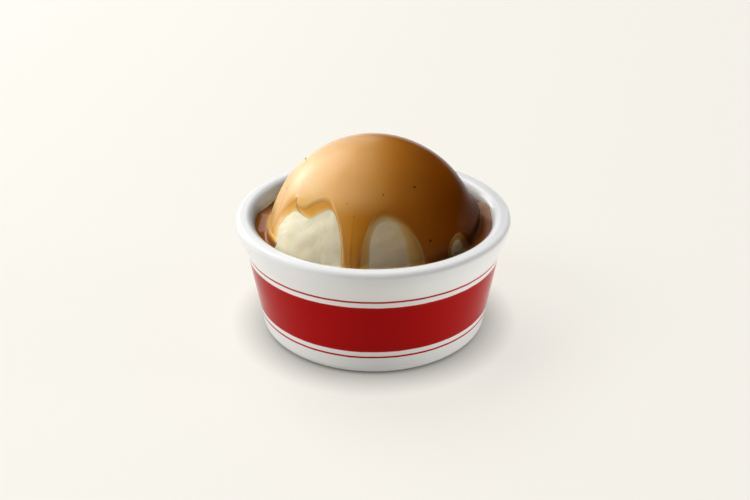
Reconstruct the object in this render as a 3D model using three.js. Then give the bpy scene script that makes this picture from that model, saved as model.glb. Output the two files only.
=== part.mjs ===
// A side of mashed potato: one round scoop in a round porcelain ramekin, with gravy poured over it.
// The gravy coats the scoop in a sheet whose lower edge hangs in lobes and drips, with bare potato
// between them, and what runs off stands in the moat between the scoop and the dish.
// Millimetres, +Z up. The origin is the centre of the dish's foot, on the table, and -Y is the front.
import * as THREE from "three";

// Driving dimensions: the dish.
const rimRadius = 45; // the widest point of the lip
const dishHeight = 40;
const wallSlope = 0.165; // outward lean of the wall, mm for each mm of height
const lipFlare = 1.4; // how far the lip stands out of the wall's straight taper
const flareStart = 28; // height where the flare begins
const flareEnd = 37;
const lipOuterRounding = 1.7;
const lipCrown = 1.2; // the nearly flat top of the lip
const lipRollIn = 3.2; // the lip's inner edge rolls over this far inwards
const lipRollDown = 3.9; // and this far down
const floorThickness = 4.5;
const innerFillet = 6;
const footRounding = 3.7;
const footRingWidth = 4.5;
const footRecess = 0.9;

// Driving dimensions: the food.
const domeRadius = 33.7; // the scoop, without gravy
const domeCentreHeight = 29.1;
const contactHeight = 19; // the scoop has settled against the wall up to here
const lumpHeight = 0.35; // soft lumps in the potato
const lumpFadeStart = 33; // they fade out down in the moat, from
const lumpFadeEnd = 39; // this height
const gravyThickness = 1.15;
const gravyBead = 0.55; // the sheet is thicker along its lower edge
const beadWidth = 2.5;
const gravyEdgeWidth = 2.2; // the edge rounds down over this width
const gravyEdgeDepth = 0.3; // to this
const gravyLevel = 35.6; // top of the gravy in the moat
const meniscusHeight = 0.35;
const meniscusWidth = 1.4;
const moatFoot = 22; // the moat narrows to nothing about here

// The gravy's lower edge: where it leaves the potato bare, as arches round the scoop.
// Azimuths are in degrees from the front (-Y) towards +X, and tops are heights above the table.
// A higher power makes a squarer arch.
const archFoot = 29.6; // the arches spring from here, under the moat's level
const bareArches = [
  { azimuth: -43, halfWidth: 25.5, top: 47.2, power: 3.2 },
  { azimuth: -29.5, halfWidth: 12.3, top: 51.2, power: 2.4 },
  { azimuth: 10, halfWidth: 16.3, top: 50, power: 2.5 },
  { azimuth: 51.5, halfWidth: 9, top: 40.4, power: 2.2 },
  { azimuth: 112, halfWidth: 13, top: 45.5, power: 2.4 },
  { azimuth: 148, halfWidth: 15, top: 48.5, power: 2.6 },
  { azimuth: 182, halfWidth: 12, top: 43.5, power: 2.2 },
  { azimuth: 214, halfWidth: 11, top: 46, power: 2.3 },
  { azimuth: 246, halfWidth: 14, top: 47.5, power: 2.5 },
];

// Fineness and clearances.
const segments = 72; // facets round the dish and the potato
const leastColumnStep = 0.35; // degrees between columns of the gravy sheet
const widestColumnStep = 6;
const pieceGap = 0.3; // clearance between pieces that touch
const coatGap = 0.45; // and under the sheet, whose facets don't line up with the potato's

const degree = Math.PI / 180;

const smoothstep = (x) => {
  const t = Math.min(1, Math.max(0, x));
  return t * t * (3 - 2 * t);
};

// ---- The dish ----

const outerWallRadius = (z) =>
  rimRadius - lipFlare - wallSlope * (dishHeight - lipOuterRounding - z) +
  lipFlare * smoothstep((z - flareStart) / (flareEnd - flareStart));

const lipInnerRadius = rimRadius - lipOuterRounding - lipCrown;
const innerWallTop = dishHeight - lipRollDown;
const innerWallRadius = (z) => lipInnerRadius - lipRollIn - wallSlope * (innerWallTop - z);

// Points along part of an ellipse round (x, z), from one angle to another in degrees.
function ellipseArc(x, z, radiusX, radiusZ, from, to, steps) {
  const curve = new THREE.EllipseCurve(x, z, radiusX, radiusZ, from * degree, to * degree, to < from, 0);
  return curve.getPoints(steps);
}

// Points up a wall whose radius depends on the height.
function wallPoints(radiusAt, from, to, steps) {
  return Array.from({ length: steps + 1 }, (_, i) => {
    const z = from + ((to - from) * i) / steps;
    return new THREE.Vector2(radiusAt(z), z);
  });
}

const turned = (profile) => new THREE.LatheGeometry(profile, segments).rotateX(Math.PI / 2);

function ramekinGeometry() {
  const footRadius = outerWallRadius(footRounding) - footRounding;
  const ringInner = footRadius - footRingWidth;
  const lipTop = dishHeight - lipOuterRounding;
  const lipCentre = rimRadius - lipOuterRounding;
  const filletTop = floorThickness + innerFillet;
  const filletCentre = innerWallRadius(filletTop) - innerFillet;
  return turned([
    new THREE.Vector2(0, footRecess),
    new THREE.Vector2(ringInner - footRecess, footRecess),
    new THREE.Vector2(ringInner, 0),
    ...ellipseArc(footRadius, footRounding, footRounding, footRounding, -90, 0, 4),
    ...wallPoints(outerWallRadius, footRounding, lipTop, 8).slice(1),
    ...ellipseArc(lipCentre, lipTop, lipOuterRounding, lipOuterRounding, 0, 90, 3).slice(1),
    ...ellipseArc(lipInnerRadius, innerWallTop, lipRollIn, lipRollDown, 90, 180, 4),
    ...ellipseArc(filletCentre, filletTop, innerFillet, innerFillet, 0, -90, 3),
    new THREE.Vector2(0, floorThickness),
  ]);
}

// ---- The potato ----

const domePoint = (latitude, radius = domeRadius) =>
  new THREE.Vector2(
    latitude === 90 ? 0 : radius * Math.cos(latitude * degree),
    domeCentreHeight + radius * Math.sin(latitude * degree),
  );

// Latitudes of the potato's rows, from the skirt to the pole: closest where bare potato shows.
const potatoLatitudes = [8, 12, 16, 20, 24, 28, 33, 38, 43, 51, 60, 70, 80, 90];

// Soft, uneven lumps: waves that never line up.
const lumpWaves = [
  { round: 3, up: 4, phase: 0.6, share: 0.5 },
  { round: 5, up: -7, phase: 2.1, share: 0.3 },
  { round: 8, up: 9, phase: 4.4, share: 0.2 },
];
const lumpFreePole = 0.25; // the waves meet at the pole, so they fade out over this much of the radius

function potatoRelief(azimuth, z) {
  const height = (z - domeCentreHeight) / domeRadius;
  const lump = lumpWaves.reduce(
    (sum, wave) => sum + wave.share * Math.sin(wave.round * azimuth * degree + wave.up * height + wave.phase),
    0,
  );
  const awayFromPole = smoothstep((1 - height) / lumpFreePole);
  const aboveMoat = smoothstep((z - lumpFadeStart) / (lumpFadeEnd - lumpFadeStart));
  return lumpHeight * lump * awayFromPole * aboveMoat;
}

// The scoop's side below the dome: it settles outwards until it meets the wall.
const contactRadius = innerWallRadius(contactHeight) - pieceGap;
function potatoSide(z) {
  const t = (domeCentreHeight - z) / (domeCentreHeight - contactHeight);
  return domeRadius + (contactRadius - domeRadius) * smoothstep(t);
}

// Azimuth from the front, in degrees from 0 to 360.
const azimuthOf = (x, y) => (Math.atan2(x, -y) / degree + 360) % 360;

function mashGeometry() {
  const filletTop = floorThickness + innerFillet;
  const cornerRadius = innerFillet - pieceGap;
  const cornerCentre = innerWallRadius(filletTop) - innerFillet;
  const geometry = turned([
    new THREE.Vector2(0, floorThickness + pieceGap),
    ...ellipseArc(cornerCentre, filletTop, cornerRadius, cornerRadius, -90, 0, 2),
    ...wallPoints(potatoSide, contactHeight, domeCentreHeight, 3),
    ...potatoLatitudes.map((latitude) => domePoint(latitude)),
  ]);
  const position = geometry.getAttribute("position");
  const centre = new THREE.Vector3(0, 0, domeCentreHeight);
  const point = new THREE.Vector3();
  for (let i = 0; i < position.count; i++) {
    point.fromBufferAttribute(position, i);
    const relief = potatoRelief(azimuthOf(point.x, point.y), point.z);
    point.sub(centre);
    point.setLength(point.length() + relief).add(centre);
    position.setXYZ(i, point.x, point.y, point.z);
  }
  return geometry;
}

// ---- The gravy sheet ----

// Height of the sheet's lower edge round the scoop: below the moat's level where a drip runs into it.
function edgeHeight(azimuth) {
  let height = archFoot;
  for (const arch of bareArches) {
    const offset = Math.abs(((azimuth - arch.azimuth + 540) % 360) - 180) / arch.halfWidth;
    const rise = offset < 1 ? (1 - offset ** arch.power) ** (1 / arch.power) : 0;
    height = Math.max(height, archFoot + (arch.top - archFoot) * rise);
  }
  return height;
}

const latitudeOf = (z) => Math.asin((z - domeCentreHeight) / domeRadius);

// The edge as a closed line of points on the unrolled dome, in mm round and mm up.
const unroll = (azimuth, z) => [azimuth * degree * domeRadius, latitudeOf(z) * domeRadius];
const edgeLine = Array.from({ length: 721 }, (_, i) => unroll(i / 2, edgeHeight(i / 2)));

// Distance from the edge, in mm: above 0 under gravy, and 0 on bare potato.
function insideGravy(azimuth, z) {
  if (z <= edgeHeight(azimuth)) return 0;
  const [u, v] = unroll(azimuth, z);
  const around = 360 * degree * domeRadius;
  let nearest = Infinity;
  for (const [edgeU, edgeV] of edgeLine) {
    const du = Math.abs(u - edgeU);
    nearest = Math.min(nearest, Math.hypot(Math.min(du, around - du), v - edgeV));
  }
  return nearest;
}

// Thickness of the gravy: rounded at its edge, with a bead along it.
function gravyDepth(azimuth, z) {
  const inside = insideGravy(azimuth, z);
  const rounded = Math.sqrt(1 - (1 - Math.min(1, inside / gravyEdgeWidth)) ** 2);
  const bead = gravyBead * Math.exp(-(((inside - gravyEdgeWidth) / beadWidth) ** 2));
  return gravyEdgeDepth + (gravyThickness + bead - gravyEdgeDepth) * rounded;
}

// Azimuths of the sheet's columns: closest at the sides of each arch, where the edge is steep.
function coatColumns() {
  const halfArch = [0.5, 0.78, 0.92, 0.98, 1.02, 1.15];
  const shares = [...halfArch.map((share) => -share), 0, ...halfArch];
  const sorted = bareArches
    .flatMap((arch) => shares.map((share) => (arch.azimuth + share * arch.halfWidth + 360) % 360))
    .sort((p, q) => p - q)
    .filter((azimuth, i, all) => i === 0 || azimuth - all[i - 1] > leastColumnStep);
  return sorted.flatMap((azimuth, i) => {
    const gap = (i + 1 < sorted.length ? sorted[i + 1] : sorted[0] + 360) - azimuth;
    const count = Math.ceil(gap / widestColumnStep);
    return Array.from({ length: count }, (_, k) => azimuth + (gap * k) / count);
  });
}

// Latitudes of one column's rows, in degrees: the same over the crown, then down to the sheet's edge,
// closer and closer together. Drips end just clear of the gravy in the moat.
const crownLatitudes = [90, 80.5, 71, 61.5, 52];
const shareBelowCrown = [0.36, 0.64, 0.82, 0.92, 0.975, 1];
const coatRows = crownLatitudes.length + shareBelowCrown.length;
function coatLatitudes(azimuth) {
  const shoulder = crownLatitudes.at(-1);
  const edge = latitudeOf(Math.max(edgeHeight(azimuth), gravyLevel + pieceGap)) / degree;
  return [...crownLatitudes, ...shareBelowCrown.map((share) => shoulder + (edge - shoulder) * share)];
}

// The sheet over the scoop, as one lathe whose profile changes with the azimuth: down its inner face
// from the pole to the edge, and back up its outer face.
function gravyCoatGeometry() {
  const columns = coatColumns();
  const profile = Array.from({ length: 2 * coatRows }, (_, row) => new THREE.Vector2(domeRadius, row));
  const geometry = new THREE.LatheGeometry(profile, columns.length);
  const position = geometry.getAttribute("position");
  for (let i = 0; i <= columns.length; i++) {
    const azimuth = columns[i % columns.length];
    const turn = azimuth * degree;
    const latitudes = coatLatitudes(azimuth);
    for (let row = 0; row < profile.length; row++) {
      const isOuter = row >= coatRows;
      const latitude = latitudes[isOuter ? profile.length - 1 - row : row];
      const z = domePoint(latitude).y;
      const depth = coatGap + potatoRelief(azimuth, z) + (isOuter ? gravyDepth(azimuth, z) : 0);
      const place = domePoint(latitude, domeRadius + depth);
      position.setXYZ(i * profile.length + row, place.x * Math.sin(turn), -place.x * Math.cos(turn), place.y);
    }
  }
  return geometry;
}

// ---- The gravy in the moat ----

// It stands round the scoop, with a low meniscus at the wall, and fills the wedge between the two.
function gravyPoolGeometry() {
  const wallSide = (z) => innerWallRadius(z) - pieceGap;
  const domeSide = (z) => domeRadius * Math.cos(latitudeOf(z)) + 2 * pieceGap;
  const potatoFoot = (z) => potatoSide(z) + pieceGap;
  const profile = [
    ...wallPoints(wallSide, moatFoot, gravyLevel + meniscusHeight, 2),
    new THREE.Vector2(wallSide(gravyLevel) - meniscusWidth, gravyLevel),
    ...wallPoints(domeSide, gravyLevel, domeCentreHeight, 2),
    ...wallPoints(potatoFoot, domeCentreHeight - (domeCentreHeight - moatFoot) / 2, moatFoot, 1),
  ];
  profile.push(profile[0].clone());
  return turned(profile);
}

// ---- The object ----

const glazedPorcelain = new THREE.MeshStandardMaterial({ color: 0xe9e9e6, roughness: 0.15, metalness: 0 });
const mashedPotato = new THREE.MeshStandardMaterial({ color: 0xe6d9b4, roughness: 0.55, metalness: 0 });
const brownGravy = new THREE.MeshStandardMaterial({ color: 0x94581c, roughness: 0.25, metalness: 0 });

function piece(name, geometry, material) {
  const mesh = new THREE.Mesh(geometry, material);
  mesh.name = name;
  return mesh;
}

const mashSide = new THREE.Group();
mashSide.add(
  piece("ramekin", ramekinGeometry(), glazedPorcelain),
  piece("mash", mashGeometry(), mashedPotato),
  piece("gravy_coat", gravyCoatGeometry(), brownGravy),
  piece("gravy_pool", gravyPoolGeometry(), brownGravy),
);

export default mashSide;
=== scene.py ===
# One scoop of mashed potato under brown gravy, in a small banded porcelain ramekin.
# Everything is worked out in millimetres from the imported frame, and turned to metres when a mesh is made.
import math

import bpy
import numpy as np
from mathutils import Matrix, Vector


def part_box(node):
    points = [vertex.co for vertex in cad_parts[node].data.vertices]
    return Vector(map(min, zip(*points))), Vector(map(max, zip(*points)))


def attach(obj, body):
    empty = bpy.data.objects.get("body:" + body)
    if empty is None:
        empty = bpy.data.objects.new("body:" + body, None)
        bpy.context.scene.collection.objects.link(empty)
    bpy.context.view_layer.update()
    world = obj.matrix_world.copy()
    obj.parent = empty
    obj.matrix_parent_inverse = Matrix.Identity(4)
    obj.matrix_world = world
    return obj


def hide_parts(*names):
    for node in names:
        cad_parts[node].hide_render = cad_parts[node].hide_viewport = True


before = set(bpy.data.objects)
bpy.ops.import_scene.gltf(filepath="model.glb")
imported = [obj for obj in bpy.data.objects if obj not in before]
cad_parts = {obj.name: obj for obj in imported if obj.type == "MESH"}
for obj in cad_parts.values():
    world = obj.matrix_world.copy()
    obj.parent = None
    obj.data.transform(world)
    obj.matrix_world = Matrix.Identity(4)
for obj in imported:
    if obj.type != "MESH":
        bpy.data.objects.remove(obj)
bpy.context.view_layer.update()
mm = 0.001

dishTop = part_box("ramekin")[1]
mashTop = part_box("mash")[1]
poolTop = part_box("gravy_pool")[1]


# ---- small tools ----

def smooth(x):
    t = np.clip(x, 0, 1)
    return t * t * (3 - 2 * t)


def turnFrom(azimuth, middle):  # degrees from middle round to azimuth, -180 to 180
    return (azimuth - middle + 180) % 360 - 180


def curveThrough(points, steps=14, closed=True):  # a rounded line through rows of numbers
    p = np.array(points, float)
    count = len(p)
    if not closed:
        p = np.vstack([2 * p[0] - p[1], p, 2 * p[-1] - p[-2]])
    line = []
    for i in range(count if closed else count - 1):
        a, b, c, d = (p[(i + k) % count] for k in (-1, 0, 1, 2)) if closed else p[i:i + 4]
        for t in np.arange(steps) / steps:
            line.append(0.5 * (2 * b + (c - a) * t + (2 * a - 5 * b + 4 * c - d) * t ** 2
                               + (3 * b - a - 3 * c + d) * t ** 3))
    return np.array(line)


def turnedMesh(name, rings, ends, values=None):
    # a closed skin: rings of points round +Z, and a point on the axis before the first and after the last
    rows, columns = rings.shape[:2]
    points = np.concatenate([rings.reshape(-1, 3), np.array(ends, float)]) * mm
    at = np.arange(rows * columns).reshape(rows, columns)
    beside = np.roll(at, -1, axis=1)
    quads = np.stack([at[:-1], beside[:-1], beside[1:], at[1:]], -1).reshape(-1, 4)
    first, last = rows * columns, rows * columns + 1
    bottom = np.stack([beside[0], at[0], np.full(columns, first)], -1)
    top = np.stack([at[-1], beside[-1], np.full(columns, last)], -1)
    mesh = bpy.data.meshes.new(name)
    mesh.from_pydata(points.tolist(), [], quads.tolist() + bottom.tolist() + top.tolist())
    for label, numbers in (values or {}).items():
        attribute = mesh.attributes.new(label, "FLOAT", "POINT")
        attribute.data.foreach_set("value", np.append(numbers.ravel(), [numbers[0, 0], numbers[-1, 0]]))
    mesh.shade_smooth()
    piece = bpy.data.objects.new(name, mesh)
    bpy.context.scene.collection.objects.link(piece)
    return piece


def ringsOf(profile, azimuths):  # the same profile of (radius, height) at every azimuth
    a = np.radians(azimuths)
    profile = np.array(profile, float)
    r, z = profile[:, 0, None], profile[:, 1, None]
    return np.stack([r * np.sin(a), -r * np.cos(a), z + 0 * a], -1)


def arc(x, z, radiusX, radiusZ, start, end, steps):
    a = np.radians(np.linspace(start, end, steps + 1))
    return [(x + radiusX * math.cos(k), z + radiusZ * math.sin(k)) for k in a]


def linear(hexColour):
    channels = [int(hexColour[i:i + 2], 16) / 255 for i in (1, 3, 5)]
    return tuple(c / 12.92 if c <= 0.04045 else ((c + 0.055) / 1.055) ** 2.4 for c in channels) + (1.0,)


def addNode(tree, kind, values=None, links=None, **settings):
    node = tree.nodes.new(kind)
    for label, value in settings.items():  # first, as they choose which sockets there are
        setattr(node, label, value)
    for socket, value in (values or {}).items():
        node.inputs[socket].default_value = value
    for socket, source in (links or {}).items():
        tree.links.new(source, node.inputs[socket])
    return node


def newMaterial(name, values):
    material = bpy.data.materials.new(name)
    material.use_nodes = True
    tree = material.node_tree
    tree.nodes.clear()
    shader = addNode(tree, "ShaderNodeBsdfPrincipled", values)
    addNode(tree, "ShaderNodeOutputMaterial", links={"Surface": shader.outputs[0]})
    return material, tree, shader


def fillRamp(node, stops, ease="EASE"):  # stops are (place, hex colour)
    ramp = node.color_ramp
    ramp.interpolation = ease
    while len(ramp.elements) < len(stops):
        ramp.elements.new(0.5)
    for element, (place, colour) in zip(ramp.elements, stops):
        element.position = place
        element.color = linear(colour)
    return node


# ---- camera ----

camera = {
    "place": (0.00047, -0.31008, 0.18509),
    "tiltBelowLevel": 27.31,  # degrees
    "lens": 50,
}


def makeCamera():
    data = bpy.data.cameras.new("camera")
    data.lens = camera["lens"]
    data.sensor_width = 36
    eye = bpy.data.objects.new("camera", data)
    eye.location = camera["place"]
    eye.rotation_euler = (math.radians(90 - camera["tiltBelowLevel"]), 0, 0)
    bpy.context.scene.collection.objects.link(eye)
    bpy.context.scene.camera = eye


makeCamera()
print("camera ready")


# ---- the dish ----

dish = {
    "rim": dishTop.x / mm,  # radius, as all the widths here
    "height": dishTop.z / mm,
    "slope": 0.165,  # outward lean of the wall, mm for each mm of height
    "flare": 1.4,
    "flareStart": 28.0,
    "flareEnd": 37.0,
    "lipRounding": 1.7,
    "lipCrown": 1.2,
    "rollIn": 3.2,
    "rollDown": 3.9,
    "floor": 4.5,
    "innerFillet": 6.0,
    "footRounding": 3.7,
    "footRing": 4.5,
    "footRecess": 0.9,
    "wobble": 0.07,  # thrown and pressed ware is never quite true
    "bandLow": 9.5,  # the painted band
    "bandHigh": 27.0,
    "lineGap": 1.7,  # bare glaze between the band and each fine line
    "lineWidth": 0.75,
    "columns": 320,
}


def outerWall(z):
    taper = dish["rim"] - dish["flare"] - dish["slope"] * (dish["height"] - dish["lipRounding"] - z)
    return taper + dish["flare"] * smooth((z - dish["flareStart"]) / (dish["flareEnd"] - dish["flareStart"]))


lipInner = dish["rim"] - dish["lipRounding"] - dish["lipCrown"]
innerTop = dish["height"] - dish["rollDown"]


def innerWall(z):
    return lipInner - dish["rollIn"] - dish["slope"] * (innerTop - z)


def dishProfile():
    h, lip, foot = dish["height"], dish["lipRounding"], dish["footRounding"]
    footRadius = outerWall(foot) - foot
    ring = footRadius - dish["footRing"]
    filletTop = dish["floor"] + dish["innerFillet"]
    filletCentre = innerWall(filletTop) - dish["innerFillet"]
    outside = [(float(outerWall(z)), z) for z in np.linspace(foot, h - lip, 60)]
    inside = [(float(innerWall(z)), z) for z in np.linspace(innerTop, filletTop, 24)]
    return (
        [(r, dish["footRecess"]) for r in np.linspace(3, ring - 1.4, 10)]
        + arc(ring - 1.4, 0.45, 0.9, 0.45, 90, 0, 4)[1:]
        + arc(ring + 0.3, 0.45, 0.8, 0.45, 180, 270, 5)
        + arc(footRadius, foot, foot, foot, -90, 0, 14)
        + outside[1:]
        + arc(dish["rim"] - lip, h - lip, lip, lip, 0, 90, 12)[1:]
        + arc(lipInner, innerTop, dish["rollIn"], dish["rollDown"], 90, 180, 18)
        + inside[1:]
        + arc(filletCentre, filletTop, dish["innerFillet"], dish["innerFillet"], 0, -90, 8)[1:]
        + [(r, dish["floor"]) for r in (24, 15, 6)]
    )


def innerSurface(z):  # with the roll of the lip
    up = np.clip((z - innerTop) / dish["rollDown"], 0, 1)
    return innerWall(np.minimum(z, innerTop)) + dish["rollIn"] * (1 - np.sqrt(1 - up ** 2))


def makeDish():
    azimuths = np.arange(dish["columns"]) * 360 / dish["columns"]
    rings = ringsOf(dishProfile(), azimuths)
    a = np.radians(azimuths)
    uneven = (np.sin(2 * a + 0.7) * 0.45 + np.sin(3 * a + 2.2) * 0.3 + np.sin(5 * a + 4.0) * 0.25 - 1) / 2
    height = rings[..., 2]
    share = smooth(height / 12)
    factor = 1 + dish["wobble"] * uneven * share / dish["rim"]
    rings[..., 0] *= factor
    rings[..., 1] *= factor
    rings[..., 2] += 0.5 * dish["wobble"] * uneven * smooth((height - 30) / 9)
    return turnedMesh("ramekinDish", rings, [(0, 0, dish["footRecess"]), (0, 0, dish["floor"])])


# Porcelain dipped in clear glaze: a hard white body under a thin glassy skin, so highlights are sharp but
# a little wavy. The band is iron red painted under the glaze, thinner and paler at its brushed edges.
def glazedPorcelain():
    material, tree, shader = newMaterial("whiteGlazedPorcelain", {"IOR": 1.5})
    place = addNode(tree, "ShaderNodeTexCoord").outputs["Object"]
    xyz = addNode(tree, "ShaderNodeSeparateXYZ", links={0: place})
    up = xyz.outputs["Z"]
    bodyNoise = addNode(tree, "ShaderNodeTexNoise", {"Scale": 60.0, "Detail": 3.0}, {"Vector": place})
    body = addNode(tree, "ShaderNodeMix", {6: linear("#eceded"), 7: linear("#f3f3f2")},
                   {"Factor": bodyNoise.outputs["Fac"]}, data_type="RGBA")
    # brushed edges wander by a few hundredths of a millimetre
    wander = addNode(tree, "ShaderNodeTexNoise", {"Scale": 220.0, "Detail": 2.0}, {"Vector": place})
    shift = addNode(tree, "ShaderNodeMath", {1: 0.00022}, {0: wander.outputs["Fac"]}, operation="MULTIPLY")
    edgeHeight = addNode(tree, "ShaderNodeMath", {}, {0: up, 1: shift.outputs[0]}, operation="ADD").outputs[0]
    radius = addNode(tree, "ShaderNodeVectorMath", {1: (1, 1, 0)}, {0: place}, operation="MULTIPLY")
    fromAxis = addNode(tree, "ShaderNodeVectorMath", links={0: radius.outputs[0]},
                       operation="LENGTH").outputs["Value"]

    def stripe(low, high, soft=0.00012):  # 1 between two heights, 0 elsewhere
        rise = addNode(tree, "ShaderNodeMapRange", {1: low * mm - soft, 2: low * mm + soft}, {0: edgeHeight},
                       interpolation_type="SMOOTHSTEP")
        fall = addNode(tree, "ShaderNodeMapRange", {1: high * mm - soft, 2: high * mm + soft, 3: 1.0, 4: 0.0},
                       {0: edgeHeight}, interpolation_type="SMOOTHSTEP")
        return addNode(tree, "ShaderNodeMath", links={0: rise.outputs[0], 1: fall.outputs[0]},
                       operation="MULTIPLY").outputs[0]

    low, high, gap, width = dish["bandLow"], dish["bandHigh"], dish["lineGap"], dish["lineWidth"]
    fields = [stripe(low, high), stripe(high + gap, high + gap + width), stripe(low - gap - width, low - gap)]
    painted = addNode(tree, "ShaderNodeMath", links={0: fields[0], 1: fields[1]}, operation="MAXIMUM")
    painted = addNode(tree, "ShaderNodeMath", links={0: painted.outputs[0], 1: fields[2]},
                      operation="MAXIMUM")
    # the inside of the wall is nowhere as wide as the outside is at the lowest line
    leastRadius = float(outerWall(low - gap - width)) - 0.3
    outside = addNode(tree, "ShaderNodeMath", {1: leastRadius * mm}, {0: fromAxis}, operation="GREATER_THAN")
    paint = addNode(tree, "ShaderNodeMath", links={0: painted.outputs[0], 1: outside.outputs[0]},
                    operation="MULTIPLY").outputs[0]
    inner = stripe(low + 0.7, high - 0.7, 0.0006)  # full depth of colour away from the edges
    streaks = addNode(tree, "ShaderNodeVectorMath", {1: (30, 30, 900)}, {0: place}, operation="MULTIPLY")
    streakNoise = addNode(tree, "ShaderNodeTexNoise", {"Scale": 1.0, "Detail": 2.0},
                          {"Vector": streaks.outputs[0]})
    depth = addNode(tree, "ShaderNodeMath", {1: 0.5}, {0: streakNoise.outputs["Fac"]}, operation="MULTIPLY")
    depth = addNode(tree, "ShaderNodeMath", {1: 0.75}, {0: inner, 2: depth.outputs[0]},
                    operation="MULTIPLY_ADD")
    red = fillRamp(addNode(tree, "ShaderNodeValToRGB", links={0: depth.outputs[0]}),
                   [(0.0, "#bc2a20"), (0.45, "#b60400"), (1.0, "#ae0000")])
    glaze = addNode(tree, "ShaderNodeMix", data_type="RGBA",
                    links={"Factor": paint, 6: body.outputs[2], 7: red.outputs["Color"]})
    gloss = addNode(tree, "ShaderNodeMapRange", {3: 0.5, 4: 0.06}, {0: paint})
    tree.links.new(gloss.outputs[0], shader.inputs["Specular IOR Level"])
    # the ring that stood on the kiln shelf is wiped bare of glaze
    bareRing = addNode(tree, "ShaderNodeMapRange", {1: 0.00025, 2: 0.00055, 3: 1.0, 4: 0.0}, {0: up})
    grit = addNode(tree, "ShaderNodeTexNoise", {"Scale": 1400.0, "Detail": 2.0}, {"Vector": place})
    biscuit = fillRamp(addNode(tree, "ShaderNodeValToRGB", links={0: grit.outputs["Fac"]}),
                       [(0.3, "#cfc8ba"), (0.7, "#e2dccf")])
    colour = addNode(tree, "ShaderNodeMix", links={"Factor": bareRing.outputs[0], 6: glaze.outputs[2],
                                                   7: biscuit.outputs["Color"]}, data_type="RGBA")
    tree.links.new(colour.outputs[2], shader.inputs["Base Color"])
    roughness = addNode(tree, "ShaderNodeMapRange", {3: 0.1, 4: 0.75}, {0: bareRing.outputs[0]})
    patchy = addNode(tree, "ShaderNodeMath", {1: 0.05},
                     {0: bodyNoise.outputs["Fac"], 2: roughness.outputs[0]}, operation="MULTIPLY_ADD")
    tree.links.new(patchy.outputs[0], shader.inputs["Roughness"])
    # glaze ripple about 9 mm across and a few hundredths of a millimetre high
    ripple = addNode(tree, "ShaderNodeTexNoise", {"Scale": 110.0, "Detail": 1.0}, {"Vector": place})
    bump = addNode(tree, "ShaderNodeBump", {"Strength": 0.5, "Distance": 0.0001},
                   {"Height": ripple.outputs["Fac"]})
    tree.links.new(bump.outputs[0], shader.inputs["Normal"])
    return material


ramekinDish = makeDish()
ramekinDish.data.materials.append(glazedPorcelain())
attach(ramekinDish, "root")
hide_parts("ramekin")
print("dish made")


# ---- the scoop's form, shared by the potato and the gravy ----

scoop = {
    "radius": 33.9,
    "centreHeight": mashTop.z / mm + 0.2 - 33.9,  # the top stays just under the gravy's
    "lump": 0.3,  # height of the soft lumps
    "bulge": {"azimuth": -57, "halfWidth": 30, "depth": 3.4, "top": 48, "bottom": 30},
}
poolLevel = poolTop.z / mm - 0.35  # the flat of the moat, below its upturned edge


def bulgeAt(azimuth, z):  # the potato leans out on one side, where the scoop was pressed down
    b = scoop["bulge"]
    across = np.clip(1 - np.abs(turnFrom(azimuth, b["azimuth"])) / b["halfWidth"], 0, 1)
    return b["depth"] * np.sin(across * math.pi / 2) ** 2 * smooth((b["top"] - z) / (b["top"] - b["bottom"]))


def lumpsAt(azimuth, z):  # soft lumps, 10 to 30 mm across
    a = np.radians(azimuth)
    h = (z - scoop["centreHeight"]) / scoop["radius"]
    waves = (0.4 * np.sin(3 * a + 4 * h + 0.6) + 0.25 * np.sin(5 * a - 7 * h + 2.1)
             + 0.2 * np.sin(8 * a + 9 * h + 4.4) + 0.15 * np.sin(13 * a - 12 * h + 1.3))
    return scoop["lump"] * waves * smooth((1 - h) / 0.4)


def potatoRadius(azimuth, latitude):  # from the scoop's centre
    z = scoop["centreHeight"] + scoop["radius"] * np.sin(np.radians(latitude))
    return scoop["radius"] + bulgeAt(azimuth, z) + lumpsAt(azimuth, z)


def onScoop(azimuth, latitude, radius):
    a, l = np.radians(azimuth), np.radians(latitude)
    return np.stack([radius * np.cos(l) * np.sin(a), -radius * np.cos(l) * np.cos(a),
                     scoop["centreHeight"] + radius * np.sin(l)], -1)


# ---- mashed potato ----

mash = {
    "columns": 560,
    "settledHeight": 19.0,  # below this it has settled against the dish
    "dishGap": 0.35,
    "folds": 0.09,  # heights of the relief
    "crumb": 0.025,
    "pits": 0.08,
    # how brown it is, as (azimuth, share): gravy that has soaked in, and some shade that is painted with it
    "stainAndShade": [(-180, 0.4), (-90, 0.3), (-70, 0.0), (-38, 0.0), (-20, 0.1),
              (0, 0.55), (15, 0.7), (45, 0.9), (80, 0.9), (180, 0.4)],
}


def grain(points, size, seed):  # cheap smooth noise, -1 to 1, from waves in fixed random directions
    rng = np.random.default_rng(seed)
    total = np.zeros(points.shape[:-1])
    for _ in range(14):
        direction = rng.normal(size=3)
        direction *= rng.uniform(0.7, 1.4) * 2 * math.pi / size / np.linalg.norm(direction)
        total += np.sin(points @ direction + rng.uniform(0, 2 * math.pi))
    return total / 3.7


def reliefAt(azimuth, latitude):  # the small unevenness of the paste, which a thin film of gravy follows
    points = onScoop(azimuth, latitude, potatoRadius(azimuth, latitude))
    folds = mash["folds"] * grain(points, 5.0, 3) + mash["crumb"] * grain(points, 1.9, 5)
    pits = -mash["pits"] * smooth((grain(points, 3.0, 9) - 0.8) / 0.5)
    return (folds + pits) * smooth((86 - latitude) / 10)


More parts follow.
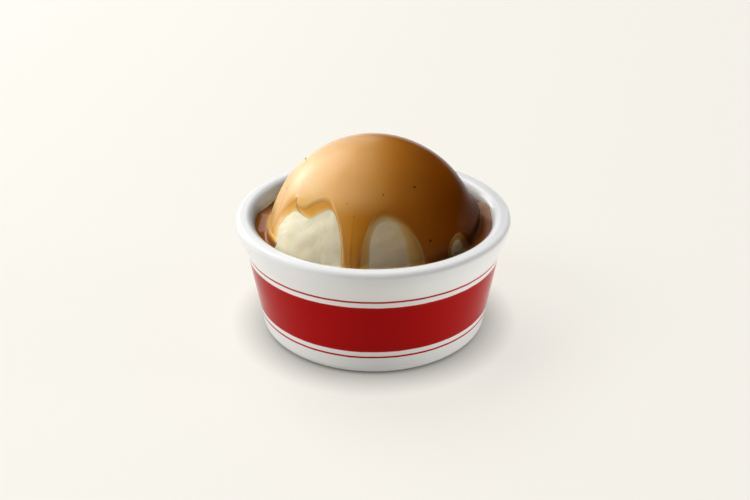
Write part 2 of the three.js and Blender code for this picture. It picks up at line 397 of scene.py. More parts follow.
def makeMash():
    azimuths = np.arange(mash["columns"]) * 360 / mash["columns"]
    latitudes = np.concatenate([np.arange(2, 56, 0.8), np.arange(56, 89, 2.2)])
    a, l = np.meshgrid(azimuths, latitudes)
    skin = onScoop(a, l, potatoRadius(a, l) + reliefAt(a, l))
    filletTop = dish["floor"] + dish["innerFillet"]
    corner = dish["innerFillet"] - mash["dishGap"]
    cornerCentre = float(innerWall(filletTop)) - dish["innerFillet"]
    settled = float(innerWall(mash["settledHeight"])) - mash["dishGap"]
    side = []
    for z in np.linspace(mash["settledHeight"], 29.0, 12):
        share = smooth((29.1 - z) / (29.1 - mash["settledHeight"]))
        side.append((scoop["radius"] + (settled - scoop["radius"]) * float(share), z))
    below = ringsOf(arc(cornerCentre, filletTop, corner, corner, -90, 0, 5) + side, azimuths)
    # the bulge dies away downwards, where the dish narrows
    lean = bulgeAt(azimuths, below[..., 2]) * smooth((below[..., 2] - mash["settledHeight"]) / 10)
    below[..., :2] *= 1 + (lean / np.hypot(below[..., 0], below[..., 1]))[..., None]
    rings = np.concatenate([below, skin])
    top = scoop["centreHeight"] + scoop["radius"]
    # gravy stain and painted shade together, one share by azimuth
    stainAndShade = np.interp(turnFrom(azimuths, 0), *np.array(mash["stainAndShade"]).T) + 0 * rings[..., 2]
    ends = [(0, 0, dish["floor"] + mash["dishGap"]), (0, 0, top)]
    return turnedMesh("mashedPotato", rings, ends, {"stainAndShade": stainAndShade})


# Potato mashed smooth with milk and butter: a pale cream paste, moist enough for a dull sheen, that light
# enters and leaves again a few millimetres on, so its shadows are warm and soft. Brown is laid over it by
# azimuth, partly gravy stain and partly painted shade: none at the front left, and most at the right.
def creamedPotato():
    material, tree, shader = newMaterial("creamedPotato", {"IOR": 1.4, "Subsurface Weight": 0.35,
                                                           "Subsurface Scale": 1.0})
    shader.inputs["Subsurface Radius"].default_value = (0.0032, 0.0022, 0.0012)
    place = addNode(tree, "ShaderNodeTexCoord").outputs["Object"]
    mottle = addNode(tree, "ShaderNodeTexNoise", {"Scale": 170.0, "Detail": 4.0, "Roughness": 0.6},
                     {"Vector": place})
    colour = fillRamp(addNode(tree, "ShaderNodeValToRGB", links={0: mottle.outputs["Fac"]}),
                      [(0.3, "#ece2be"), (0.5, "#f1e7c8"), (0.72, "#f5eed6")])
    # one brown for gravy stain and painted shade, laid on by azimuth
    stainAndShade = addNode(tree, "ShaderNodeAttribute", attribute_name="stainAndShade").outputs["Fac"]
    stainedAndShaded = addNode(tree, "ShaderNodeMix", {7: linear("#a17c50")},
                      {"Factor": stainAndShade, 6: colour.outputs["Color"]}, data_type="RGBA")
    tree.links.new(stainedAndShaded.outputs[2], shader.inputs["Base Color"])
    rough = addNode(tree, "ShaderNodeMapRange", {3: 0.4, 4: 0.6}, {0: mottle.outputs["Fac"]})
    tree.links.new(rough.outputs[0], shader.inputs["Roughness"])
    # grains of potato under half a millimetre, and the soft folds that the spoon leaves
    fineGrain = addNode(tree, "ShaderNodeTexNoise", {"Scale": 1900.0, "Detail": 3.0}, {"Vector": place})
    folds = addNode(tree, "ShaderNodeTexNoise", {"Scale": 330.0, "Detail": 2.0}, {"Vector": place})
    height = addNode(tree, "ShaderNodeMath", {1: 0.3}, {0: fineGrain.outputs["Fac"], 2: folds.outputs["Fac"]},
                     operation="MULTIPLY_ADD")
    bump = addNode(tree, "ShaderNodeBump", {"Strength": 0.35, "Distance": 0.0002},
                   {"Height": height.outputs[0]})
    tree.links.new(bump.outputs[0], shader.inputs["Normal"])
    return material


mashedPotato = makeMash()
mashedPotato.data.materials.append(creamedPotato())
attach(mashedPotato, "root")
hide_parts("mash")
print("potato made")


# ---- gravy ----

# Each window in the gravy has two outlines on the scoop, as (azimuth, height, softness of the edge there):
# the bare potato, and the skirt round it where only a thin, clear film was left behind.
windows = {
    "frontLeft": {
        "skirtDepth": 0.55,
        "bare": [
            (-57.5, 30.0, 0.8), (-59.5, 36.0, 1.2), (-63.5, 39.5, 1.5), (-64.0, 42.0, 1.5),
            (-61.5, 44.3, 1.4), (-57.5, 46.4, 1.0), (-51.5, 46.9, 0.8), (-46.0, 46.6, 0.9),
            (-41.5, 46.8, 1.0), (-36.5, 48.6, 1.0), (-31.0, 50.3, 0.5), (-27.0, 50.0, 0.0),
            (-22.5, 47.8, 0.0), (-19.2, 43.8, 0.0), (-17.2, 37.0, 0.0), (-16.8, 30.0, 0.0),
        ],
        "skirt": [
            (-64.0, 30.0, 2.2), (-66.0, 36.0, 2.2), (-69.0, 40.0, 2.2), (-68.5, 43.5, 2.2),
            (-65.5, 46.0, 2.0), (-62.3, 48.0, 1.2), (-60.0, 49.3, 0.2), (-58.5, 48.7, 0.1),
            (-55.0, 48.1, 0.2), (-50.0, 48.3, 0.3), (-46.0, 49.1, 0.35), (-41.5, 50.8, 0.35),
            (-36.0, 51.9, 0.3), (-30.5, 51.8, 0.15), (-26.0, 50.0, 0.05), (-21.5, 46.8, 0.0),
            (-18.0, 41.0, 0.0), (-17.2, 37.0, 0.0), (-17.0, 30.0, 0.0),
        ],
    },
    "front": {
        "skirtDepth": 0.38,
        "bare": [
            (-2.4, 30.0, 0.3), (-2.2, 38.0, 0.3), (-1.5, 43.5, 0.5), (1.0, 47.0, 1.0), (5.5, 48.5, 1.5),
            (10.5, 48.7, 1.5), (14.6, 47.4, 1.5), (17.0, 43.8, 1.4), (17.9, 38.0, 1.3),
            (18.0, 30.0, 1.3),
        ],
        "skirt": [
            (-6.6, 30.0, 0.5), (-6.4, 37.0, 0.5), (-5.6, 42.0, 0.5), (-3.2, 46.0, 0.6),
            (0.5, 48.5, 0.9), (5.0, 49.7, 1.2), (10.5, 49.6, 1.3), (16.5, 48.0, 1.2), (21.0, 45.9, 0.8),
            (24.4, 43.0, 0.2), (26.4, 39.6, 0.0), (27.1, 36.0, 0.0), (27.3, 30.0, 0.0),
        ],
    },
    "right": {
        "skirtDepth": 0.4,
        "bare": [
            (45.6, 30.0, 0.4), (46.2, 34.0, 0.4), (48.2, 37.2, 0.5), (52.3, 38.5, 0.6),
            (56.3, 37.6, 0.7), (58.0, 34.5, 0.7), (58.2, 30.0, 0.7),
        ],
        "skirt": [
            (42.6, 30.0, 0.0), (43.3, 35.0, 0.0), (45.6, 38.4, 0.0), (50.0, 40.0, 0.0),
            (55.0, 40.2, 0.1), (59.3, 38.8, 0.3), (61.5, 35.5, 0.5), (61.8, 30.0, 0.5),
        ],
    },
}
backArches = [  # (azimuth, half width, top, squareness)
    (112, 13, 45.5, 2.4), (148, 15, 48.5, 2.6), (182, 12, 43.5, 2.2),
    (214, 11, 46.0, 2.3), (246, 14, 47.5, 2.5),
]
backSkirt = {  # the film round the bare potato in each of them
    "foot": 31.0,
    "depth": 0.35,
    "width": 2.6,  # degrees
    "height": 1.5,
    "aside": 0.8,  # degrees, as a run of gravy is never quite even
    "softness": 0.15,
    "bareSoftness": 0.5,
}
# fine lines on the gravy, each with its width in mm and points as (azimuth, height, strength): dark lines of
# painted shade where it folds or meets the potato, and pale lines along the edges of some films
shadeLines = [
    (0.3, [(-60.6, 50.2, 0.0), (-60.0, 49.5, 0.5), (-58.6, 48.6, 0.7), (-56.0, 47.8, 0.7),
           (-52.0, 47.2, 0.6), (-47.5, 46.8, 0.4), (-42.0, 46.8, 0.0)]),
    (0.32, [(-31.0, 50.7, 0.0), (-27.0, 50.1, 0.5), (-22.5, 47.8, 0.7), (-19.2, 43.8, 0.6),
            (-17.2, 37.0, 0.5), (-16.9, 33.0, 0.3)]),
    (0.6, [(-86.0, 52.5, 0.0), (-82.0, 50.0, 0.22), (-78.5, 47.5, 0.22), (-75.0, 44.5, 0.2),
           (-72.5, 41.0, 0.0)]),
]
paleLines = [
    (0.6, [(-30.0, 52.3, 0.0), (-24.5, 50.8, 0.5), (-20.0, 48.0, 0.7), (-17.3, 44.0, 0.8),
           (-15.8, 39.5, 0.7), (-15.2, 35.5, 0.5)]),
    (0.3, [(2.0, 50.2, 0.0), (-0.6, 49.0, 0.4), (-3.3, 46.4, 0.7), (-5.6, 42.3, 0.7), (-6.4, 37.0, 0.4)]),
    (0.28, [(22.6, 44.8, 0.0), (24.4, 43.0, 0.4), (26.4, 39.6, 0.6), (27.1, 36.0, 0.4)]),
    (0.3, [(43.4, 34.9, 0.2), (45.6, 38.4, 0.4), (50.0, 40.0, 0.4), (56.0, 40.2, 0.2),
           (62.0, 39.3, 0.0)]),
]
moatRise = [  # how far the gravy has climbed the dish above its common level, as (azimuth, mm)
    (-180, 0.0), (-150, -0.4), (-125, -0.9), (-110, -1.3), (-103, -0.6), (-97, 0.2), (-88, 0.2), (-78, 0.0),
    (-68, -0.7), (-58, -1.4), (-38, -1.4), (-26, -0.8), (-16, 0.0), (38, 0.0), (46, -1.1), (57, -1.1),
    (66, 0.0), (75, 0.1), (84, 0.4), (90, 0.9), (95, 1.8),
    (99, 2.5), (103, 2.4), (107, 1.6), (112, 0.5), (118, 0.1), (150, 0.0), (180, 0.0),
]
gravy = {
    "columns": 680,
    "thickness": 1.2,
    "bead": 0.25,
    "deepest": -0.8,  # the sheet runs on this far inside bare potato, out of sight
    "follows": 0.35,  # thinner than this, it follows the potato's unevenness
    "fillet": 2.2,
    "blend": 1.5,  # how widely a drip flows into the moat
    "meniscus": 0.45,
    "shell": 1.4,  # depth of the closed underside
    # a thick roll low on one side: where it is, how far it reaches each way, and what it adds
    "roll": {"azimuth": 95, "across": 15, "height": 39.5, "upward": 3.5, "depth": 1.5},
}


def unrolled(azimuth, z, middle):  # mm round and mm up from a middle azimuth
    height = np.clip((z - scoop["centreHeight"]) / scoop["radius"], -1, 1)
    return np.radians(turnFrom(azimuth, middle)) * scoop["radius"] * 0.88, np.arcsin(height) * scoop["radius"]


def nearLine(points, azimuth, z, closed=True):
    # mm to a line on the scoop, above 0 inside a closed one and below 0 outside, and the third number of the
    # line's nearest point
    line = curveThrough(points, 10, closed)
    middle = float(line[:, 0].mean())
    lineU, lineV = unrolled(line[:, 0], line[:, 1], middle)
    u, v = unrolled(azimuth, z, middle)
    near = np.nonzero((u > lineU.min() - 14) & (u < lineU.max() + 14) & (v < lineV.max() + 14))
    pu, pv = u[near], v[near]
    best, third, odd = np.full(pu.shape, 1e3), np.zeros(pu.shape), np.zeros(pu.shape, bool)
    for i in range(len(line) if closed else len(line) - 1):
        j = (i + 1) % len(line)
        du, dv = lineU[j] - lineU[i], lineV[j] - lineV[i]
        t = np.clip(((pu - lineU[i]) * du + (pv - lineV[i]) * dv) / (du * du + dv * dv + 1e-12), 0, 1)
        away = np.hypot(pu - lineU[i] - t * du, pv - lineV[i] - t * dv)
        closer = away < best
        best = np.where(closer, away, best)
        third = np.where(closer, line[i, 2] + t * (line[j, 2] - line[i, 2]), third)
        odd ^= ((lineV[i] > pv) != (lineV[j] > pv)) & (pu < lineU[i] + (pv - lineV[i]) / (dv or 1e-12) * du)
    distance, value = np.full(u.shape, -1e3), np.zeros(u.shape)
    distance[near] = np.where(odd, best, -best) if closed else -best
    value[near] = third
    return distance, value


def arch(azimuth, halfWidth, top, squareness, softness):
    foot = backSkirt["foot"]
    return [(azimuth + halfWidth * math.copysign(abs(math.cos(t)) ** (2 / squareness), math.cos(t)),
             foot + (top - foot) * math.sin(t) ** (2 / squareness), softness)
            for t in np.radians(np.linspace(180, 0, 13))]


def allWindows():
    found = list(windows.values())
    for azimuth, halfWidth, top, squareness in backArches:
        bare = arch(azimuth + backSkirt["aside"], halfWidth - backSkirt["width"], top - backSkirt["height"],
                    squareness, backSkirt["bareSoftness"])
        skirt = arch(azimuth, halfWidth, top, squareness, backSkirt["softness"])
        found.append({"skirtDepth": backSkirt["depth"], "skirt": skirt, "bare": bare})
    return found


def gravyDepth(azimuth, z):  # thickness over the potato, below 0 where the potato is bare
    outside, softSkirt = np.full(azimuth.shape, 1e3), np.zeros(azimuth.shape)
    wet, sunk = np.full(azimuth.shape, 0.6), np.full(azimuth.shape, -1e3)
    for window in allWindows():
        inBare, softBare = nearLine(window["bare"], azimuth, z)
        inSkirt, soft = nearLine(window["skirt"], azimuth, z)
        out = -np.maximum(inBare, inSkirt)
        closer = out < outside
        outside, softSkirt = np.where(closer, out, outside), np.where(closer, soft, softSkirt)
        film = window["skirtDepth"] * (1 - np.exp(np.minimum(inBare, 0) / (0.3 + 1.5 * softBare)))
        wet, sunk = np.where(closer, film, wet), np.maximum(sunk, 1.6 * inBare / (1 + 3 * softBare))
    a = np.radians(azimuth)
    away = smooth((64.5 - z) / 14)  # from the very top, where every azimuth meets
    full = gravy["thickness"] + away * (0.08 * np.sin(2 * a + 1.0) + 0.06 * np.sin(5 * a - z / 7))
    roll = gravy["roll"]
    across = turnFrom(azimuth, roll["azimuth"]) / roll["across"]
    upward = (z - roll["height"]) / roll["upward"]
    full = full + roll["depth"] * np.exp(-across ** 2) * np.exp(-upward ** 2)
    beyond = np.maximum(outside, 0)
    sheet = 1 - np.exp(-beyond / (0.55 + 2.2 * softSkirt))
    bead = gravy["bead"] * np.maximum(1 - softSkirt, 0) * np.exp(-((beyond - 1.0) / 0.6) ** 2)
    bead = bead * smooth(beyond / 0.6)
    depth = wet + (full - wet) * sheet + bead
    return np.where(sunk > 0, np.maximum(-sunk, gravy["deepest"]), depth)


def lineShade(lines, azimuth, z):
    shade = np.zeros(azimuth.shape)
    for width, points in lines:
        distance, strength = nearLine(points, azimuth, z, closed=False)
        shade = np.maximum(shade, strength * np.exp(-(distance / width) ** 2))
    return shade


def gravyRings():
    centre, level, fillet, radius = scoop["centreHeight"], poolLevel, gravy["fillet"], scoop["radius"]
    filletZ = level + fillet
    turn = math.degrees(math.asin((filletZ - centre) / (radius + fillet)))
    filletR = (radius + fillet) * math.cos(math.radians(turn))
    wall = float(innerWall(level))
    azimuths = np.arange(gravy["columns"]) * 360 / gravy["columns"]
    crown = np.concatenate([np.arange(88, 56, -2.0), np.arange(56, turn + 0.3, -0.54)])
    base = [(radius * math.cos(math.radians(t)), centre + radius * math.sin(math.radians(t))) for t in crown]
    normal = [(math.cos(math.radians(t)), math.sin(math.radians(t))) for t in crown]
    bend = np.radians(np.linspace(180 + turn, 270, 11))
    base += [(filletR + fillet * math.cos(t), filletZ + fillet * math.sin(t)) for t in bend]
    normal += [(-math.cos(t), -math.sin(t)) for t in bend]
    base += [(r, level) for r in np.linspace(filletR, wall, 11)[1:]]
    normal += [(0.0, 1.0)] * 10
    base, normal = np.array(base), np.array(normal)

    a = np.broadcast_to(azimuths, (len(base), len(azimuths)))
    # the foot of the fillet moves out with the bulge, so that the rows keep their order
    share = np.concatenate([np.zeros(len(crown)), np.linspace(0.1, 1, 11), np.linspace(1, 0, 11)[1:]])
    baseR = base[:, :1] + share[:, None] * bulgeAt(azimuths, level)
    baseZ = base[:, 1:] + 0 * a
    outR, outZ = normal[:, :1], normal[:, 1:]
    latitude = np.degrees(np.arctan2(baseZ - centre, baseR))
    z = centre + radius * np.sin(np.radians(latitude))
    depth = np.maximum(gravyDepth(a, z), -0.25 - 0.6 * smooth((z - level - 0.4) / 1.2))
    # dark lines of painted shade along folds and where the gravy meets the potato
    dark, pale = lineShade(shadeLines, a, z), lineShade(paleLines, a, z)
    surface = potatoRadius(a, latitude) + depth - 0.1 * dark * (depth > 0.3)
    surface = surface + reliefAt(a, latitude) * np.exp(-np.maximum(depth, 0) / gravy["follows"])
    rise = np.interp(turnFrom(a, 0), *np.array(moatRise).T)
    dip, climb = np.minimum(rise, 0), np.maximum(rise, 0) + gravy["meniscus"]
    ripples = 0.05 * np.sin(3 * np.radians(a) + 0.5) + 0.04 * np.sin(7 * np.radians(a) + 2.0)

    def field(h):  # below 0 inside the gravy
        r, height = baseR + h * outR, baseZ + h * outZ
        coat = np.hypot(r, height - centre) - surface
        gap = np.maximum(innerSurface(height) - r, 0)
        pool = height - level - ripples - dip - climb * np.exp(-gap / (0.7 + 0.5 * climb))
        k = gravy["blend"]
        overlap = np.maximum(k - np.abs(coat - pool), 0) / k
        return np.minimum(coat, pool) - overlap ** 2 * k / 4

    low, high = np.full(a.shape, -1.8), np.where(outZ > 0.99, 3.6, 2.6) + 0 * a
    for _ in range(24):  # halve the span until it closes on the surface
        middle = (low + high) / 2
        below = field(middle) < 0
        low, high = np.where(below, middle, low), np.where(below, high, middle)
    r, height = baseR + low * outR, baseZ + low * outZ
    # the rows of the moat are spread out to meet the wall, wherever it is at their height
    reach = (innerSurface(height) + 0.1 - filletR) / (wall - filletR)
    r = np.where(outZ > 0.99, filletR + (r - filletR) * np.where(r > filletR, reach, 1), r)
    ang = np.radians(a)
    rings = np.stack([r * np.sin(ang), -r * np.cos(ang), height], -1)
    moat = smooth((baseR - filletR + 0.9) / 1.6) + 0 * a
    # where it has run up the glaze it is thin again near its edge
    onGlaze = smooth((rise - 0.4) / 1.2) * np.exp(-np.maximum(innerSurface(height) - r, 0) / 1.2) * moat
    return rings, {"depth": np.clip(depth, 0, 3), "moat": moat, "shadeLine": dark, "paleLine": pale,
                   "onGlaze": onGlaze}, surface


def makeGravy():
    rings, values, surface = gravyRings()
    rows = rings.shape[0]
    # the underside follows a few of the rows, inside the potato and under the moat
    picked = list(range(0, rows - 1, 8)) + [rows - 1]
    centre = np.array([0, 0, scoop["centreHeight"]])
    offset = rings[picked] - centre
    distance = np.linalg.norm(offset, axis=-1, keepdims=True)
    under = centre + offset / distance * (np.minimum(distance, surface[picked][..., None]) - gravy["shell"])
    under[-1] = rings[-1] - [0, 0, 1.2]
    top = scoop["centreHeight"] + float(np.linalg.norm(rings[0] - centre, axis=-1).mean())
    skin = np.concatenate([under, rings[::-1]])
    values = {label: np.concatenate([each[picked], each[::-1]]) for label, each in values.items()}
    return turnedMesh("brownGravy", skin, [(0, 0, top - gravy["shell"]), (0, 0, top)], values)


# colours of a thin film by its depth, from bare potato to filmDepth in mm: the plain one on the left, and
# browner, darker ones further right, partly stain and partly painted shade, where each takes over between
# two values of X in metres
filmDepth = 0.8
plainFilm = [(0.0, "#ede0c0"), (0.14, "#ecc98a"), (0.36, "#e0a64a"), (0.68, "#cb8628"), (1.0, "#c48134")]
stainedAndShadedFilms = [
    (-0.008, 0.001,
     [(0.0, "#c0a67e"), (0.15, "#b38d58"), (0.35, "#a87b40"), (0.6, "#9f6c2c"), (1.0, "#8c5518")]),
    (0.014, 0.025,
     [(0.0, "#9a8058"), (0.12, "#85643a"), (0.3, "#734b1c"), (0.6, "#6c3c0c"), (1.0, "#662e00")]),
]
# what is painted over those colours, as (attribute, share, colour); the dark line is painted shade
gravyMarks = [("onGlaze", 0.9, "#b08b68"), ("shadeLine", 1.0, "#7d5f2a"), ("paleLine", 0.65, "#cfa874")]
gravyShine = [  # (socket, its left and right ends on the scoop, the same in the moat)
    ("Specular IOR Level", (0.31, 0.02), (0.45, 0.12)),
    ("Roughness", (0.27, 0.18), (0.12, 0.18)),
]


# Thickened brown gravy: satin smooth, clear amber where it is thin over pale potato, and browner where it is
# thick. It wets everything it touches, so its highlights are broad with soft edges. Shade is painted into it
# too: from left to right its colour goes from pale amber to dark brown, and its specular level falls.
def thickBrownGravy():
    material, tree, shader = newMaterial("thickBrownGravy", {
        "IOR": 1.45, "Specular IOR Level": 0.31, "Subsurface Weight": 0.2, "Subsurface Scale": 1.0})
    shader.inputs["Subsurface Radius"].default_value = (0.0018, 0.0008, 0.0003)
    place = addNode(tree, "ShaderNodeTexCoord").outputs["Object"]
    xyz = addNode(tree, "ShaderNodeSeparateXYZ", links={0: place})

    depth = addNode(tree, "ShaderNodeAttribute", attribute_name="depth").outputs["Fac"]
    moat = addNode(tree, "ShaderNodeAttribute", attribute_name="moat").outputs["Fac"]
    # 0 to 1 from left to right across the scoop
    rightward = addNode(tree, "ShaderNodeMapRange", {1: -0.024, 2: 0.036}, {0: xyz.outputs["X"]}).outputs[0]

    # a thin film lets the potato through
    share = addNode(tree, "ShaderNodeMapRange", {1: 0.0, 2: filmDepth}, {0: depth}).outputs[0]
    ramp = fillRamp(addNode(tree, "ShaderNodeValToRGB", links={0: share}), plainFilm, "LINEAR")
    film = ramp.outputs["Color"]
    # further right the films turn browner and darker: partly stain, partly painted shade
    for start, end, stops in stainedAndShadedFilms:
        ramp = fillRamp(addNode(tree, "ShaderNodeValToRGB", links={0: share}), stops, "LINEAR")
        there = addNode(tree, "ShaderNodeMapRange", {1: start, 2: end}, {0: xyz.outputs["X"]},
                        interpolation_type="SMOOTHSTEP")
        film = addNode(tree, "ShaderNodeMix", data_type="RGBA",
                       links={"Factor": there.outputs[0], 6: film, 7: ramp.outputs["Color"]}).outputs[2]
    # the full sheet, with painted shade from left to right: one run of colours high up, and a stronger one
    # low down
    upper = fillRamp(addNode(tree, "ShaderNodeValToRGB", links={0: rightward}),
                     [(0.0, "#f2d3a2"), (0.08, "#edc68e"), (0.17, "#e8b576"), (0.3, "#d7a05e"),
                      (0.38, "#c8924e"), (0.46, "#af732c"), (0.54, "#995b19"), (0.63, "#844b12"),
                      (0.7, "#773d08"), (0.79, "#6a3400"), (0.87, "#542800"), (1.0, "#421e00")], "B_SPLINE")
    lower = fillRamp(addNode(tree, "ShaderNodeValToRGB", links={0: rightward}),
                     [(0.08, "#dfac62"), (0.2, "#d39740"), (0.28, "#c8852e"), (0.35, "#b6701b"),
                      (0.48, "#a15f17"), (0.57, "#905113"), (0.7, "#743b08"), (0.79, "#642d00"),
                      (0.87, "#502300"), (1.0, "#401b00")], "B_SPLINE")
    down = addNode(tree, "ShaderNodeMapRange", {1: 0.0555, 2: 0.049}, {0: xyz.outputs["Z"]},
                   interpolation_type="SMOOTHSTEP")
    thick = addNode(tree, "ShaderNodeMix", data_type="RGBA",
                    links={"Factor": down.outputs[0], 6: upper.outputs["Color"], 7: lower.outputs["Color"]})
    deepEnough = addNode(tree, "ShaderNodeMapRange", {1: 0.3, 2: 0.85}, {0: depth},
                         interpolation_type="SMOOTHSTEP")
    overPotato = addNode(tree, "ShaderNodeMix", data_type="RGBA",
                         links={"Factor": deepEnough.outputs[0], 6: film, 7: thick.outputs[2]})
    # the moat is painted darker to the right as well, as shade
    inMoat = fillRamp(addNode(tree, "ShaderNodeValToRGB", links={0: rightward}),
                      [(0.0, "#9c5a22"), (0.4, "#83481e"), (0.8, "#7c431d")])
    colour = addNode(tree, "ShaderNodeMix", data_type="RGBA",
                     links={"Factor": moat, 6: overPotato.outputs[2], 7: inMoat.outputs["Color"]}).outputs[2]
    for label, strength, tint in gravyMarks:
        painted = addNode(tree, "ShaderNodeAttribute", attribute_name=label)
        amount = addNode(tree, "ShaderNodeMath", {1: strength}, {0: painted.outputs["Fac"]},
                         operation="MULTIPLY")
        colour = addNode(tree, "ShaderNodeMix", {7: linear(tint)}, {"Factor": amount.outputs[0], 6: colour},
                         data_type="RGBA").outputs[2]
    cloud = addNode(tree, "ShaderNodeTexNoise", {"Scale": 130.0, "Detail": 3.0}, {"Vector": place})
    brightness = addNode(tree, "ShaderNodeMapRange", {3: 0.94, 4: 1.06}, {0: cloud.outputs["Fac"]})
    cloudy = addNode(tree, "ShaderNodeHueSaturation", links={"Color": colour, "Value": brightness.outputs[0]})
    tree.links.new(cloudy.outputs[0], shader.inputs["Base Color"])

    for socket, (left, right), (moatLeft, moatRight) in gravyShine:
        onScoopShine = addNode(tree, "ShaderNodeMapRange", {2: 0.8, 3: left, 4: right}, {0: rightward})
        moatShine = addNode(tree, "ShaderNodeMapRange", {2: 0.8, 3: moatLeft, 4: moatRight}, {0: rightward})
        both = addNode(tree, "ShaderNodeMix",
                       links={0: moat, 2: onScoopShine.outputs[0], 3: moatShine.outputs[0]})
        tree.links.new(both.outputs[0], shader.inputs[socket])
    swell = addNode(tree, "ShaderNodeTexNoise", {"Scale": 90.0, "Detail": 1.0}, {"Vector": place})
    bump = addNode(tree, "ShaderNodeBump", {"Strength": 0.25, "Distance": 0.0003},
                   {"Height": swell.outputs["Fac"]})
    tree.links.new(bump.outputs[0], shader.inputs["Normal"])
    return material


brownGravy = makeGravy()
brownGravy.data.materials.append(thickBrownGravy())
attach(brownGravy, "root")
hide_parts("gravy_coat", "gravy_pool")
brownGravy.visible_diffuse = False  # or it throws amber light on the white glaze beside it
print("gravy made")


# ---- pepper ----

pepper = {
    "placed": [  # azimuth, height, half width in mm
        (34.1, 55.2, 0.46), (32.2, 41.9, 0.52), (7.4, 54.7, 0.26), (-17.9, 52.3, 0.22),
        (-12.0, 49.6, 0.18), (12.0, 59.5, 0.16), (44.0, 49.0, 0.2),
    ],
    "scattered": 34,
    "halfWidth": (0.12, 0.45),
    "lowest": 39.0,
    "deepEnough": 0.9,  # mm of gravy that it takes to hold a speck
    "sunk": 0.35,  # share of its thickness that lies under the surface
    "seed": 11,
}


def speckShape(rng, halfWidth):  # an irregular crumb with flat broken faces
    rings = []
    for lift, reach in ((-0.5, 0.7), (0.1, 1.0), (0.55, 0.55)):
        a = np.radians(np.arange(0, 360, 60) + rng.uniform(-16, 16, 6))
        r = reach * rng.uniform(0.7, 1.1, 6)
        rings.append(np.stack([r * np.cos(a), 0.75 * r * np.sin(a), lift + rng.uniform(-0.1, 0.1, 6)], -1))
    points = np.concatenate(rings + [[(0, 0, -0.75), (0, 0, 0.75)]])
    return points * halfWidth * [1, 1, 0.8]


def makePepper():
    rng = np.random.default_rng(pepper["seed"])
    drawn = 6 * pepper["scattered"]  # more than are kept, as many fall on bare potato
    azimuth, z = rng.uniform(-180, 180, drawn), rng.uniform(pepper["lowest"], mashTop.z / mm - 2, drawn)
    halfWidth = rng.uniform(*pepper["halfWidth"], drawn) * rng.uniform(0.6, 1, drawn)
    inView = (azimuth > -75) & (azimuth < 70)  # only the few placed ones lie in front
    kept = np.nonzero(~inView & (gravyDepth(azimuth, z) > pepper["deepEnough"]))[0][:pepper["scattered"]]
    places = np.concatenate([pepper["placed"], np.stack([azimuth, z, halfWidth], -1)[kept]])
    azimuth, z, halfWidth = places.T
    latitude = np.degrees(np.arcsin((z - scoop["centreHeight"]) / scoop["radius"]))
    lift = halfWidth * (0.5 - 1.2 * pepper["sunk"])
    middles = onScoop(azimuth, latitude, potatoRadius(azimuth, latitude) + gravyDepth(azimuth, z) + lift)
    ring = np.arange(6)
    beside = np.roll(ring, -1)
    faces = [(b, a, 18) for a, b in zip(ring, beside)] + [(a + 12, b + 12, 19) for a, b in zip(ring, beside)]
    for step in (0, 6):
        faces += [(a + step, b + step, b + step + 6, a + step + 6) for a, b in zip(ring, beside)]
    allPoints, allFaces = [], []
    for k, middle in enumerate(middles):
        out = onScoop(azimuth[k], latitude[k], 1) - [0, 0, scoop["centreHeight"]]
        side = np.cross([0, 0, 1], out) / np.linalg.norm(np.cross([0, 0, 1], out))
        turn = rng.uniform(0, math.pi)
        across = math.cos(turn) * side + math.sin(turn) * np.cross(out, side)
        axes = np.stack([across, np.cross(out, across), out])
        allFaces += [[corner + len(allPoints) for corner in face] for face in faces]
        allPoints += (speckShape(rng, halfWidth[k]) @ axes + middle).tolist()
    mesh = bpy.data.meshes.new("groundPepper")
    mesh.from_pydata((np.array(allPoints) * mm).tolist(), [], allFaces)
    piece = bpy.data.objects.new("groundPepper", mesh)
    bpy.context.scene.collection.objects.link(piece)
    return piece


# Coarsely ground black pepper: broken dark husk with paler brown inside, and a dull, dry look.
def groundBlackPepper():
    material, tree, shader = newMaterial("groundBlackPepper", {
        "IOR": 1.45, "Roughness": 0.6, "Specular IOR Level": 0.05})
    place = addNode(tree, "ShaderNodeTexCoord").outputs["Object"]
    husk = addNode(tree, "ShaderNodeTexNoise", {"Scale": 1500.0, "Detail": 3.0}, {"Vector": place})
    colour = fillRamp(addNode(tree, "ShaderNodeValToRGB", links={0: husk.outputs["Fac"]}),
                      [(0.35, "#080402"), (0.55, "#150a04"), (0.75, "#2c180a")])
    tree.links.new(colour.outputs["Color"], shader.inputs["Base Color"])
    bump = addNode(tree, "ShaderNodeBump", {"Strength": 0.5, "Distance": 0.0001},
                   {"Height": husk.outputs["Fac"]})
    tree.links.new(bump.outputs[0], shader.inputs["Normal"])
    return material


groundPepper = makePepper()
groundPepper.data.materials.append(groundBlackPepper())
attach(groundPepper, "root")
print("pepper made")


# ---- floor and light ----

floorLook = {
    "half": 4.0,  # metres
    "colour": "#6b6964",
    "glow": 0.76,  # most of the table's brightness comes from this, so the shadows on it stay light
    "glowColour": "#fdfaf2",
    "contactShadowReach": 0.012,  # metres, how far the painted contact shadow reaches round the dish's foot
}


def makeFloor():
    mesh = bpy.data.meshes.new("floor")
    half = floorLook["half"]
    corners = [(-half, -half, 0), (half, -half, 0), (half, half, 0), (-half, half, 0)]
    mesh.from_pydata(corners, [], [(0, 1, 2, 3)])
    floor = bpy.data.objects.new("floor", mesh)
    bpy.context.scene.collection.objects.link(floor)
    material, tree, shader = newMaterial("paleLitTable", {"Roughness": 0.7})
    shader.inputs["Base Color"].default_value = linear(floorLook["colour"])
    shader.inputs["Emission Color"].default_value = linear(floorLook["glowColour"])
    # painted contact shadow: the glow is dimmed where the dish is close, round its foot
    near = addNode(tree, "ShaderNodeAmbientOcclusion", {"Distance": floorLook["contactShadowReach"]}, samples=8)
    glow = addNode(tree, "ShaderNodeMath", {1: floorLook["glow"]}, {0: near.outputs["AO"]},
                   operation="MULTIPLY")
    tree.links.new(glow.outputs[0], shader.inputs["Emission Strength"])
    mesh.materials.append(material)


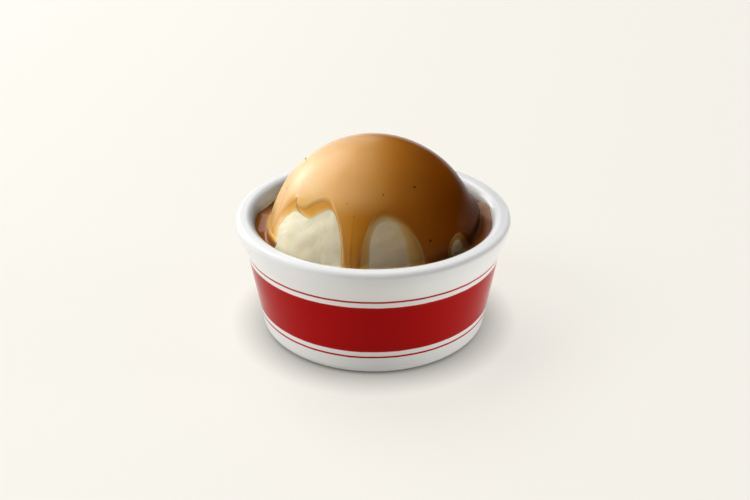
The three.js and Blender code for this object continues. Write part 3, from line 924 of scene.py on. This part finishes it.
lights = {
    # azimuth and elevation of each round softbox in degrees, its distance and width in metres, its power, and
    # whether it lights things or is only seen in glossy ones
    "keyBehindLeft": {"azimuth": -150, "elevation": 55, "distance": 2.6, "width": 2.0, "power": 52.7,
                      "for": "light"},
    "keyLeft": {"azimuth": -80, "elevation": 40, "distance": 2.6, "width": 1.6, "power": 48.4,
                "for": "light"},
    "lowRight": {"azimuth": 90, "elevation": 9, "distance": 2.6, "width": 0.9, "power": 33.3,
                 "for": "light"},
    "highGlint": {"azimuth": -140, "elevation": 38, "distance": 2.6, "width": 1.6, "power": 16.8,
                  "for": "gloss"},
    "lowGlint": {"azimuth": -136, "elevation": 11, "distance": 2.6, "width": 1.2, "power": 14.2,
                 "for": "gloss"},
    "farGlint": {"azimuth": -165, "elevation": 18, "distance": 2.6, "width": 1.6, "power": 5.8,
                 "for": "gloss"},
}
backdrop = {"colour": "#fdfaf2", "strength": 0.88}  # as pale as the far end of the table, and lights nothing


def makeLights():
    for name, each in lights.items():
        data = bpy.data.lights.new(name, "AREA")
        data.shape = "DISK"
        data.size = each["width"]
        data.energy = each["power"]
        lamp = bpy.data.objects.new(name, data)
        a, e = math.radians(each["azimuth"]), math.radians(each["elevation"])
        direction = np.array([math.cos(e) * math.sin(a), -math.cos(e) * math.cos(a), math.sin(e)])
        lamp.location = each["distance"] * direction + [0, 0, 0.03]  # round the middle of the scoop
        lamp.rotation_euler = Vector(-direction).to_track_quat("-Z", "Y").to_euler()
        lamp.visible_glossy = each["for"] != "light"
        lamp.visible_diffuse = each["for"] != "gloss"
        bpy.context.scene.collection.objects.link(lamp)
    world = bpy.data.worlds.new("studio")
    bpy.context.scene.world = world
    world.use_nodes = True
    world.node_tree.nodes["Background"].inputs["Color"].default_value = linear(backdrop["colour"])
    world.node_tree.nodes["Background"].inputs["Strength"].default_value = backdrop["strength"]
    for seenBy in ("diffuse", "glossy", "transmission", "scatter"):
        setattr(world.cycles_visibility, seenBy, False)
    bpy.context.scene.view_settings.view_transform = "Standard"


makeFloor()
makeLights()
print("floor and lights made")
